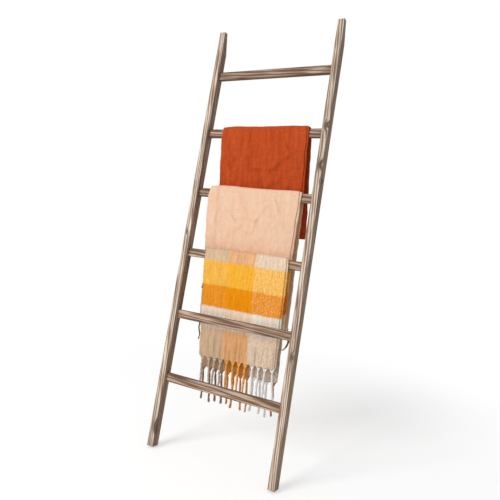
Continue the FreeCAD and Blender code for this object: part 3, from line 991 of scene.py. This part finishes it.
                # The stack thins towards its rounded side edges.
                out -= EDGE_THINNING * near_top * to_edge ** 8 * (offset / self.layers[0].offset)
                vertices.append(place + (Vector((x, wood.y, level)) + away * out) * MM)
                flat.append((u * MM, (v + self.askew * share) * MM))
                # Painted shade: the finish darkens the cloth by how high the creases stand here.
                rise = self.crease_rise(share * self.width, v)
                crease_shades.append(min(1.0, rise / CREASE_IN_SHADE))
        across = len(section)
        firsts = [row * across + i for row in range(len(stations) - 1) for i in range(across - 1)]
        mesh = bpy.data.meshes.new(self.name)
        mesh.from_pydata(vertices, [], [(at, at + 1, at + across + 1, at + across)
                                        for at in firsts])
        corners = np.empty(len(mesh.loops), np.int32)
        mesh.loops.foreach_get("vertex_index", corners)
        layout = np.array(flat, np.float32)[corners].ravel()
        mesh.uv_layers.new(name=CLOTH_UV).data.foreach_set("uv", layout)
        mesh.attributes.new(CLOTH_CREASE_SHADE, "FLOAT", "POINT").data.foreach_set("value", crease_shades)
        mesh.shade_smooth()
        return mesh

    def build(self, material: Material) -> Object:
        """Make the throw, let it ride on its body and declare what it is.

        Args:
            material: the cloth's finish.

        Returns:
            The finished piece.
        """
        cloth = new_object(self.name, self.mesh())
        solid = cloth.modifiers.new("Cloth thickness", "SOLIDIFY")
        solid.thickness, solid.offset = self.thickness * MM, 0
        solid.use_even_offset = False
        plain_mesh(cloth)
        cloth.data.materials.append(material)
        return self.declare(cloth)

    def flat_size(self) -> tuple[float, float]:
        """Return the cloth's flat width and length in metres."""
        stations, section = self.stations(), self.section()
        return section[-1][3] * MM, (stations[-1][0] - stations[0][0]) * MM


# ------------------------------------------------------------------ the fringes

# A cord of twisted strands: points along it, and round each of its sections.
CORD_POINTS, RING_POINTS = 34, 12
STRANDS = 3
# A root's yarns are this share of the cord's radius, and start 2 mm inside the cord.
YARN_SHARE = 0.38
YARN_START = (0, 0, -0.002)
# A curled tassel hangs 12 mm further in, bows out and climbs by these shares of its length, and
# has come loose, so it is thicker by the last factors.
CURL_INWARD = 12
CURL_REACH = (0.21, 0, 0.06)
CURL_LOOSE = (1.4, 1.4, 0.0)


@dataclass(frozen=True)
class Fringe(SoftPiece):
    """The tassels under both hems of a throw, each a twisted cord that gathers the warp's ends.

    Lengths are in millimetres. curl is 1 where the last tassel at the back curls up, and else 0.
    """

    throw: FoldedThrow
    count: int
    length: float
    radius: float
    root_height: float
    root_spread: float
    root_yarns: int
    turns: float
    sway: float
    seed: int
    spread_to_edge: float = 0.0
    curl: float = 0.0

    def cord(self, tree: NodeTree, given: NodeOutputs, start: Node, drop: Node) -> Node:
        """Twist three strands together, drawn as a lobed section that turns.

        Args:
            tree: the geometry node tree.
            given: the tree's inputs by name.
            start: the place where the cord starts, under its root.
            drop: the height of the cord's tip.

        Returns:
            A node whose output is the cord's mesh.
        """
        add = partial(add_node, tree)
        line = add("CurvePrimitiveLine", {"Start": start, "End": add("CombineXYZ", [0, 0, drop])})
        fine = add("ResampleCurve", {"Curve": line, "Count": CORD_POINTS})
        way = add("SplineParameter").outputs["Factor"]
        turn = add("Math", [given["Turns"], 2 * math.pi], operation="MULTIPLY")
        tilt = add("Math", [way, turn], operation="MULTIPLY")
        tilted = add("SetCurveTilt", {"Curve": fine, "Tilt": tilt})
        # The cord is pulled tight under the root, swells, and opens a little at its cut end.
        swell = add("FloatCurve", {"Value": way})
        points = swell.mapping.curves[0].points
        points[0].location, points[1].location = (0.0, 0.55), (1.0, 0.72)
        for at in ((0.08, 0.9), (0.85, 0.85), (0.95, 1.0)):
            points.new(*at)
        swell.mapping.update()
        thick = add("SetCurveRadius", {"Curve": tilted, "Radius": swell})

        ring = add("CurvePrimitiveCircle", {
            "Resolution": RING_POINTS, "Radius": given["Cord radius"]})
        index = add("InputIndex")
        strand = add("Math", [index, RING_POINTS], operation="DIVIDE")
        lobe_turn = add("Math", [index, STRANDS * 2 * math.pi / RING_POINTS],
                        operation="MULTIPLY")
        lobe = add("Math", [lobe_turn], operation="COSINE")
        bulge = add("MapRange", [lobe, -1, 1, 0.7, 1.1])
        spot = add("VectorMath", [add("InputPosition"), bulge], operation="SCALE")
        lobed = add("SetPosition", {"Geometry": ring, "Position": spot})
        for label, value in ((YARN_STRAND, strand), (YARN_GROOVE, lobe)):
            lobed = add("StoreNamedAttribute", {"Geometry": lobed, "Name": label, "Value": value},
                        **ON_POINTS)
        return add("CurveToMesh", {
            "Curve": thick, "Profile Curve": lobed, "Fill Caps": True, "Scale": swell})

    def root(self, tree: NodeTree, given: NodeOutputs, start: Node) -> Node:
        """Fan the warp's ends out from the cord to the hem.

        Args:
            tree: the geometry node tree.
            given: the tree's inputs by name.
            start: the place where the yarns meet.

        Returns:
            A node whose output is the yarns, as instances.
        """
        add = partial(add_node, tree)
        apex = add("Points", {"Count": given["Root yarns"], "Position": start, "Radius": 0.001})
        last = add("Math", [given["Root yarns"], 1.0], operation="SUBTRACT")
        place = add("MapRange", [add("InputIndex"), 0, last, -1, 1])
        slope = add("Math", [given["Root spread"], given["Root height"]], operation="DIVIDE")
        widest = add("Math", [slope], operation="ARCTANGENT")
        angle = add("Math", [widest, place], operation="MULTIPLY")
        shorter = add("Math", [angle], operation="COSINE")
        longer = add("Math", [1.0, shorter], operation="DIVIDE")
        line = add("CurvePrimitiveLine", {
            "Start": YARN_START, "End": add("CombineXYZ", [0, 0, given["Root height"]])})
        fine = add("ResampleCurve", {"Curve": line, "Count": 6})
        radius = add("Math", [given["Cord radius"], YARN_SHARE], operation="MULTIPLY")
        ring = add("CurvePrimitiveCircle", {"Resolution": 6, "Radius": radius})
        yarn = add("CurveToMesh", {"Curve": fine, "Profile Curve": ring, "Fill Caps": True})
        return add("InstanceOnPoints", {
            "Points": apex, "Instance": yarn, "Rotation": add("CombineXYZ", [0, angle, 0]),
            "Scale": add("CombineXYZ", [1, 1, longer])})

    def tassel(self, tree: NodeTree, given: NodeOutputs) -> Node:
        """Join a cord to its root, and mark how far down the tassel each point is.

        Args:
            tree: the geometry node tree.
            given: the tree's inputs by name.

        Returns:
            A node whose output is one tassel. Its mark is 0 at the hem and 1 at the tip.
        """
        add = partial(add_node, tree)
        drop, neck = (add("Math", [given[label], -1.0], operation="MULTIPLY")
                      for label in ("Length", "Root height"))
        start = add("CombineXYZ", [0, 0, neck])
        joined = add("JoinGeometry")
        for part in (self.root(tree, given, start), self.cord(tree, given, start, drop)):
            tree.links.new(part.outputs[0], joined.inputs[0])
        whole = add("RealizeInstances", [joined])
        height = add("SeparateXYZ", [add("InputPosition")]).outputs[2]
        hang = add("Math", [height, drop], operation="DIVIDE")
        return add("StoreNamedAttribute", {"Geometry": whole, "Name": YARN_HANG, "Value": hang},
                   **ON_POINTS)

    def sway_and_curl(self, tree: NodeTree, given: NodeOutputs, curl: Node) -> Node:
        """Work out how far each point of a tassel leaves the plumb line.

        Args:
            tree: the geometry node tree.
            given: the tree's inputs by name.
            curl: how far the point's tassel curls, from 0 to 1.

        Returns:
            A node whose output is the offset.
        """
        add = partial(add_node, tree)
        # Each cord wanders by a few millimetres on its way down.
        drift = add("TexNoise", {"Vector": add("InputPosition"), "W": given["Seed"],
                                 "Scale": 26.0, "Detail": 1.5}, noise_dimensions="4D").outputs[1]
        centred = add("VectorMath", [drift, (0.5, 0.5, 0.5)], operation="SUBTRACT")
        level = add("VectorMath", [centred, (2.0, 0.8, 0.0)], operation="MULTIPLY")
        far = add("InputNamedAttribute", {"Name": YARN_HANG}, data_type="FLOAT")
        reach = add("Math", [far, given["Sway"]], operation="MULTIPLY")
        wander = add("VectorMath", [level, reach], operation="SCALE")
        # A curled cord bows out to the right and hangs less far down.
        arc = add("Math", [far, math.pi], operation="MULTIPLY")
        bow = add("Math", [arc], operation="SINE")
        climb = add("Math", [far, 2.0], operation="POWER")
        hooked = add("VectorMath", [add("CombineXYZ", [bow, 0, climb]), CURL_REACH],
                     operation="MULTIPLY")
        size = add("Math", [curl, given["Length"]], operation="MULTIPLY")
        bent = add("VectorMath", [hooked, size], operation="SCALE")
        return add("VectorMath", [wander, bent])

    def node_group(self, material: Material) -> NodeTree:
        """Build the tree that hangs a twisted tassel from every point of a hem.

        Args:
            material: the yarn's finish.

        Returns:
            The geometry node tree, with named inputs for its sizes.
        """
        tree = bpy.data.node_groups.new(f"Tassels of {self.name}", "GeometryNodeTree")
        face = tree.interface
        face.new_socket("Hem", in_out="INPUT", socket_type="NodeSocketGeometry")
        for label, kind, value in (
                ("Length", "Float", self.length * MM), ("Cord radius", "Float", self.radius * MM),
                ("Root height", "Float", self.root_height * MM),
                ("Root spread", "Float", self.root_spread * MM), ("Turns", "Float", self.turns),
                ("Sway", "Float", self.sway * MM), ("Root yarns", "Int", self.root_yarns),
                ("Seed", "Int", self.seed)):
            face.new_socket(label, in_out="INPUT",
                            socket_type=f"NodeSocket{kind}").default_value = value
        face.new_socket("Tassels", in_out="OUTPUT", socket_type="NodeSocketGeometry")
        add = partial(add_node, tree)
        given = add("GroupInput").outputs
        tassel = self.tassel(tree, given)

        # One tassel on each point of the hem, each a little longer, shorter or turned.
        roots = add("MeshToPoints", {"Mesh": given["Hem"], "Radius": 0.001})
        length, twist = (
            add("RandomValue", {"Min": low, "Max": high, "Seed": given["Seed"]},
                data_type="FLOAT_VECTOR")
            for low, high in (((1.0, 1.0, 0.94), (1.0, 1.0, 1.03)),
                              ((-0.05, -0.05, -0.25), (0.05, 0.05, 0.25))))
        curl = add("InputNamedAttribute", {"Name": YARN_CURL}, data_type="FLOAT")
        thicker = add("VectorMath", [CURL_LOOSE, curl], operation="SCALE")
        hung = add("InstanceOnPoints", {
            "Points": roots, "Instance": tassel, "Rotation": twist,
            "Scale": add("VectorMath", [length, thicker])})
        swayed = add("SetPosition", {
            "Geometry": add("RealizeInstances", [hung]),
            "Offset": self.sway_and_curl(tree, given, curl)})
        real = add("RealizeInstances", [swayed])
        add("GroupOutput", [add("SetMaterial", {"Geometry": real, "Material": material})])
        return tree

    def hem_mesh(self) -> Mesh:
        """Build the roots' points under both hems.

        Returns:
            A mesh of loose points, with each one's place along its hem, its shade and its curl.
        """
        throw = self.throw
        place = box_middle(throw.rung)
        stack = throw.layers[0].offset / 2 + throw.swing / 2 + 1
        edge = RUNG_HALF_DEPTH * math.cos(LEAN) + RUNG_HALF_HEIGHT * math.sin(LEAN)
        roots, columns, shades, curls = [], [], [], []
        rng = random.Random(self.seed)
        for side, panel, first in ((Side.FRONT, throw.front, 0.0), (Side.BACK, throw.back, 1.0)):
            y = side.value * (edge / MM + stack)
            for index in range(self.count):
                share = (index + 0.5) / self.count - 0.5
                share *= 1 + self.spread_to_edge / self.count
                last_behind = side is Side.BACK and index == self.count - 1
                curl = self.curl if last_behind else 0.0
                x = panel.shift + panel.width * share - CURL_INWARD * curl
                z = ROOT_LAP - panel.drop + panel.slant * share
                roots.append(place + Vector((x, y, z)) * MM)
                columns.append(first + (index + 0.5) / self.count)
                shades.append(rng.uniform(0.93, 1.06))
                curls.append(curl)
        mesh = bpy.data.meshes.new(self.name)
        mesh.from_pydata(roots, [], [])
        for label, values in ((YARN_COLUMN, columns), (YARN_SHADE, shades), (YARN_CURL, curls)):
            mesh.attributes.new(label, "FLOAT", "POINT").data.foreach_set("value", values)
        return mesh

    def build(self, material: Material) -> Object:
        """Make the fringe and let it ride on its body.

        Args:
            material: the yarn's finish.

        Returns:
            The finished piece.
        """
        fringe = new_object(self.name, self.hem_mesh())
        fringe.modifiers.new("Tassels", "NODES").node_group = self.node_group(material)
        plain_mesh(fringe)
        fringe.data.shade_smooth()
        return self.declare(fringe)


# ------------------------------------------------------------------ camera, light and floor

WHITE = (1, 1, 1, 1)


def seen_by(tree: NodeTree, *rays: str) -> Node:
    """Tell some kinds of ray apart from the rest.

    Args:
        tree: the node tree of a material or a world.
        rays: the rays, such as "Is Camera Ray".

    Returns:
        A node whose output is 1 for those rays and 0 for others.
    """
    path = add_node(tree, "LightPath").outputs
    mask = path[rays[0]]
    for ray in rays[1:]:
        mask = add_node(tree, "Math", [mask, path[ray]], operation="MAXIMUM")
    return mask


@dataclass(frozen=True)
class FloorPaper(Finish):
    """Matt white paper.

    The eye gets a soft shadow near the feet, and plain white from reach metres away, as on paper
    that curls up out of the light.
    """

    near: float = 0.7
    reach: float = 1.6

    def surface(self, tree: NodeTree) -> Node:
        """Draw paper that fades to the white of the background.

        Args:
            tree: the material's node tree.

        Returns:
            The shader.
        """
        add = partial(add_node, tree)
        away = add("VectorMath", [add("TexCoord").outputs["Object"]], operation="LENGTH")
        fade = add("MapRange", [away, self.near, self.reach], **SMOOTH)
        seen = seen_by(tree, "Is Camera Ray", "Is Glossy Ray")
        share = add("Math", [fade, seen], operation="MULTIPLY")
        matt = add("BsdfDiffuse", [linear("fbfaf8")])
        # Seen directly, the paper is brighter than it is lit, and it keeps the shadow.
        shown = add("AddShader", [add("BsdfDiffuse", [(0.8, 0.8, 0.8, 1)]),
                                  add("Emission", [WHITE, 0.44])])
        paper = add("MixShader", [seen, matt, shown])
        return add("MixShader", [share, paper, add("Emission", [WHITE, 1.0])])


@dataclass(frozen=True)
class PhotoCamera:
    """The camera, worked out from the edges of the rails and rungs in the photograph."""

    position: tuple[float, float, float] = (0.8884, -1.6409, 0.9838)
    azimuth: float = 27.869
    pitch: float = 4.391
    roll: float = 3.673
    focal_pixels: float = 491.99
    middle_row: float = 235.21
    frame_pixels: float = 500.0
    sensor: float = 36.0

    def build(self) -> None:
        """Make the camera and give it to the scene."""
        azimuth, pitch, roll = (math.radians(a) for a in (self.azimuth, self.pitch, self.roll))
        forward = Vector((-math.sin(azimuth) * math.cos(pitch),
                          math.cos(azimuth) * math.cos(pitch), -math.sin(pitch)))
        right = Vector((math.cos(azimuth), math.sin(azimuth), 0))
        up = right.cross(forward)
        turned_right = math.cos(roll) * right + math.sin(roll) * up
        turned_up = math.cos(roll) * up - math.sin(roll) * right
        data = bpy.data.cameras.new("Photo camera")
        data.sensor_width = self.sensor
        data.lens = self.sensor * self.focal_pixels / self.frame_pixels
        data.shift_y = (self.middle_row - self.frame_pixels / 2) / self.frame_pixels
        camera = new_object("Photo camera", data)
        axes = Matrix((turned_right, turned_up, -forward)).transposed().to_4x4()
        camera.matrix_world = Matrix.Translation(self.position) @ axes
        bpy.context.scene.camera = camera


@dataclass(frozen=True)
class Studio:
    """A pale floor under soft light from the front left."""

    sky: float = 0.46
    key: float = 292.0
    key_from: tuple[float, float, float] = (-3.12, -5.76, 3.84)
    key_size: float = 3.4
    aim: tuple[float, float, float] = (0.0, 0.0, 0.8)
    floor_reach: float = 14.0
    floor_height: float = -0.0005
    paper: FloorPaper = FloorPaper(name="Matt white floor")

    def build_world(self) -> None:
        """Light the scene evenly, with a white background for the camera and in reflections."""
        world = bpy.data.worlds.new("Soft daylight")
        bpy.context.scene.world = world
        world.use_nodes = True
        tree = world.node_tree
        tree.nodes.clear()
        seen = seen_by(tree, "Is Camera Ray", "Is Glossy Ray", "Is Transmission Ray")
        light, white = (add_node(tree, "Background", [WHITE, power]) for power in (self.sky, 1.0))
        add_node(tree, "OutputWorld", [add_node(tree, "MixShader", [seen, light, white])])

    def build_key(self) -> None:
        """Hang the soft box at the front left."""
        data = bpy.data.lights.new("Soft box", "AREA")
        data.shape, data.size, data.energy = "SQUARE", self.key_size, self.key
        lamp = new_object("Soft box", data)
        lamp.location = self.key_from
        aim = Vector(self.aim) - Vector(self.key_from)
        lamp.rotation_euler = aim.to_track_quat("-Z", "Y").to_euler()

    def build_floor(self) -> None:
        """Lay the floor, which fades to the white of the background away from the ladder."""
        mesh = bpy.data.meshes.new("Floor")
        corners = ((-1, -1), (1, -1), (1, 1), (-1, 1))
        mesh.from_pydata([(x * self.floor_reach, y * self.floor_reach, 0) for x, y in corners],
                         [], [(0, 1, 2, 3)])
        mesh.materials.append(self.paper.material())
        floor = new_object("Floor", mesh)
        floor.location.z = self.floor_height

    def build(self) -> None:
        """Set up light, background and floor."""
        bpy.context.scene.view_settings.view_transform = "Standard"
        self.build_world()
        self.build_key()
        self.build_floor()


# ------------------------------------------------------------------ putting it together

def creases(*rows: tuple[float, ...]) -> tuple[Crease, ...]:
    """Turn rows of where a crease starts, where it ends, its height and its reach into creases."""
    return tuple(Crease(*row) for row in rows)


def rust_throw() -> FoldedThrow:
    """Describe the rust linen throw over the second rung.

    Returns:
        The throw.
    """
    return FoldedThrow(
        name="rust_linen_throw", node="throw_rust", body="rust_throw", slot="rust_cloth",
        rung="rung_2", width=371, shift=8, front=Panel(365, 8, 244, 4), back=Panel(377, 11, 401, 4),
        thickness=1.6, swing=1.8, fold_count=2.3, wrinkle=2.0, seed=3, top_inset=(2.5, 1.0),
        layers=(Layer(6.9, 0, 5, 0), Layer(4.1, 1, 0, 3), Layer(1.4, 4, 1, 1)),
        crown=(1.5, 3.2, 2.2, 1.8, 2.4, 3.6, 3.2),
        creases=creases(
            (-56, -26, -58, -235, 2.4, 6), (34, -18, 36, -115, 1.6, 6),
            (-69, -172, 138, -170, 2.4, 5), (140, -100, 39, -178, 3.0, 8),
            (95, -200, 10, -250, 2.6, 7), (-150, -70, -122, -140, 2.6, 7),
            (-165, -130, -100, -214, 2.4, 7), (70, -30, 112, -96, 1.8, 8),
            (160, -150, 120, -240, 2.0, 8), (-20, -60, -6, -240, 1.2, 7),
            (-120, 140, 130, 150, 2.2, 6), (-10, 30, -16, 390, 2.0, 6),
            (60, 180, 120, 330, 1.8, 8), (-130, 240, -60, 330, 1.8, 8)))


def peach_throw() -> FoldedThrow:
    """Describe the soft peach throw over the third rung.

    Returns:
        The throw.
    """
    return FoldedThrow(
        name="peach_throw_cloth", node="throw_peach", body="peach_throw", slot="peach_cloth",
        rung="rung_3", width=398, shift=4, front=Panel(374, -7, 289, 24),
        back=Panel(402, -27, 512, 24), thickness=1.9, swing=1.8, fold_count=1.7, wrinkle=2.0,
        seed=11, top_inset=(9.0, 2.0),
        layers=(Layer(6.8, 0, 6, 0), Layer(4.0, 2, 0, 3), Layer(1.5, 3, 2, 2)),
        crown=(4.0, 7.0, 6.6, 4.0, 1.8, 0.8, 0.6, 1.2, 0.8),
        creases=creases(
            (-152, -8, -158, -290, 3.2, 7), (30, -122, 10, -182, 3.0, 7),
            (-110, -84, -68, -124, 2.4, 7), (-40, -118, 28, -126, 2.2, 6),
            (48, -190, 4, -250, 2.2, 8), (-6, -130, -8, -176, 1.8, 6),
            (100, -40, 150, -150, 2.0, 9), (-120, -200, -40, -150, 1.8, 8),
            (70, -70, 30, -122, 1.8, 7), (-60, -30, -20, -90, 1.6, 8),
            (-150, 120, 150, 134, 2.2, 7), (20, 40, 24, 500, 2.0, 7),
            (80, 200, 150, 380, 1.8, 9), (-140, 300, -50, 420, 1.8, 9)))


def check_throw() -> FoldedThrow:
    """Describe the looped check throw over the fourth rung.

    Returns:
        The throw.
    """
    return FoldedThrow(
        name="check_throw_cloth", node="throw_check", body="check_throw", slot="check_cloth",
        rung="rung_4", width=354, shift=17, front=Panel(331, 8, 392, 13),
        back=Panel(342, -2, 452, 4), thickness=2.3, swing=1.7, fold_count=1.4, wrinkle=1.6,
        seed=23, top_inset=(2.0, 4.0), askew=8, hem_pull=8,
        layers=(Layer(7.3, 0, 4, 0), Layer(4.5, 1, 0, 2), Layer(1.7, 3, 1, 2)),
        crown=(1.4, 1.8, 1.6, 1.2, 1.0, 0.6, 0.2),
        creases=creases(
            (-110, -60, -104, -300, 1.4, 9), (60, -90, 70, -360, 1.4, 9),
            (-60, 80, -70, 420, 1.8, 9), (40, 200, 120, 400, 1.6, 10)))


def check_pattern(throw: FoldedThrow) -> LoopedCheck:
    """Describe the check's stripes on the folded throw.

    Args:
        throw: the throw that wears it. Its section gives where each layer starts.

    Returns:
        The finish, with three warp stripes across each layer and five weft colours, and a darker
        tan at the back hem as painted shade.
    """
    grey, gold, cream = ("c9b59c", 0.08), ("f79400", 0.07), ("fff6ea", 0.30)
    section = throw.section()
    warp = []
    for number in range(len(throw.layers)):
        places = [point[3] * MM for point in section if point[4] == number]
        start, width = places[0], places[-1] - places[0]
        order = (cream, gold, grey) if number % 2 == 0 else (grey, gold, cream)
        shares = (0.353, 0.678, 1.0) if number % 2 == 0 else (0.322, 0.647, 1.0)
        warp += [Stripe(start + width * share, *yarn) for share, yarn in zip(shares, order)]
    tan, white, orange = ("dcb68e", 0.66), ("fff1dd", 0.80), ("f29400", 0.95)
    # The last stripe, a darker tan at the back hem, is painted shade where the back panel hangs
    # behind the front one.
    yellow, sand, shaded_tan = ("ffbc3c", 0.88), ("e6c29c", 0.68), ("a37b55", 0.62)
    weft = tuple(Stripe(end, *yarn) for end, yarn in (
        (-0.312, tan), (-0.230, white), (-0.144, orange), (-0.0515, yellow), (0.034, sand),
        (0.150, yellow), (0.240, orange), (0.330, white), (0.418, tan), (1.0, shaded_tan)))
    return LoopedCheck(name="looped wool check", warp=tuple(warp), weft=weft, loop=0.0055,
                       hem=-throw.front.drop * MM)


def main() -> None:
    """Build every piece in order and report it."""
    logging.basicConfig(level=logging.INFO, format="%(name)s: %(message)s")
    PhotoCamera().build()
    Studio().build()
    WoodenLadder().build()

    rust, peach, check = rust_throw(), peach_throw(), check_throw()
    linen = WovenCloth(name="washed rust linen", base="be4a1a", light="d15d28", dark="87300e",
                       thread=0.0014, warp_streak=0.1, weft_streak=0.05, cloudiness=0.14,
                       crease_shade=0.2, crinkle_shade=0.16, relief=0.35, sheen=0.1)
    brushed = WovenCloth(name="brushed peach cotton", base="efc8aa", light="f9ddc8",
                         dark="dea57e", thread=0.0016, warp_streak=0.05, weft_streak=0.03,
                         cloudiness=0.12, crease_shade=0.2, crinkle_shade=0.16, relief=0.3, sheen=0.2)
    rust_cloth = rust.build(linen.material())
    peach_cloth = peach.build(brushed.material())
    check_cloth = check.build(check_pattern(check).material())

    peach_yarn = TwistedYarn(
        name="thin brown cotton yarn", ends=(1.3, 1.7, 2.0),
        colours=("6b4d3a", "8a5a3a", "a65424"), light_strand=("8c6a52", "a87450", "c07038"))
    # The back row's colours are darker copies of the front row's: painted shade, for the back
    # tassels hang behind the front ones.
    check_yarn = TwistedYarn(
        name="thick wool yarn", ends=(0.335, 0.668, 1.0, 1.335, 1.668, 1.92, 2.0),
        colours=("d2b99c", "ffa81c", "fffefd", "927460", "dc8a12", "fffaf4", "b5652c"),
        light_strand=("e6d5c1", "ffc663", "ffffff", "a88b72", "efa43a", "ffffff", "cf8450"))
    peach_fringe = Fringe(
        name="peach_throw_tassels", node="throw_peach_fringe", body="peach_throw",
        slot="peach_yarn", throw=peach, count=12, length=95, radius=3.0, root_height=12,
        root_spread=8, root_yarns=4, turns=6, sway=22, seed=5, spread_to_edge=0.9,
        curl=1.0).build(peach_yarn.material())
    check_fringe = Fringe(
        name="check_throw_tassels", node="throw_check_fringe", body="check_throw",
        slot="check_yarn", throw=check, count=12, length=147, radius=5.3, root_height=26,
        root_spread=12, root_yarns=7, turns=6.5, sway=9, seed=8).build(check_yarn.material())

    rust.flat_size()
    peach.flat_size()
    check.flat_size()
    for throw in (rust, peach, check):
        log.info("%s unfolds to %.3f by %.3f m", throw.name, *throw.flat_size())


if __name__ == "__main__":
    main()
